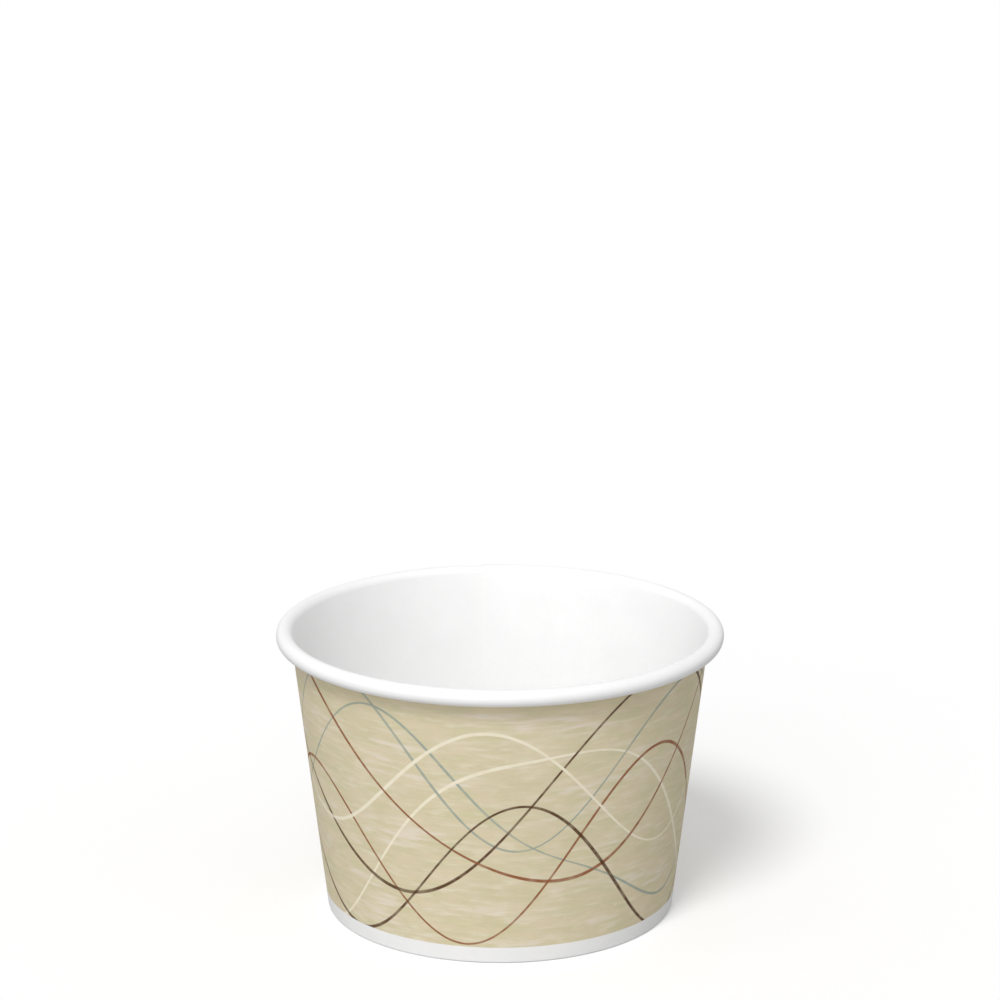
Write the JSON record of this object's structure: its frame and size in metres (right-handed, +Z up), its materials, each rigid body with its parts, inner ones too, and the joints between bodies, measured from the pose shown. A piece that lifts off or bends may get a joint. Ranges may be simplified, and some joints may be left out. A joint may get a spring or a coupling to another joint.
{
  "type": "paper food container",
  "caption": "Squat tapered round paper tub with a rolled rim, a lapped side seam, and a recessed bottom disc held in a folded hem; open top, printed outside, white inside.",
  "frame": {"origin": "centre of the foot, on the surface the tub stands on", "axes": "+Z up along the tub's axis, through the open top; +Y towards the glued side seam"},
  "size_m": [0.092, 0.092, 0.06],
  "materials": {
    "wall_board": "satin",
    "disc_board": "satin"
  },
  "bodies": {
    "root": {"side_wall": "wall_board", "bottom_disc": "disc_board"}
  },
  "joints": []
}
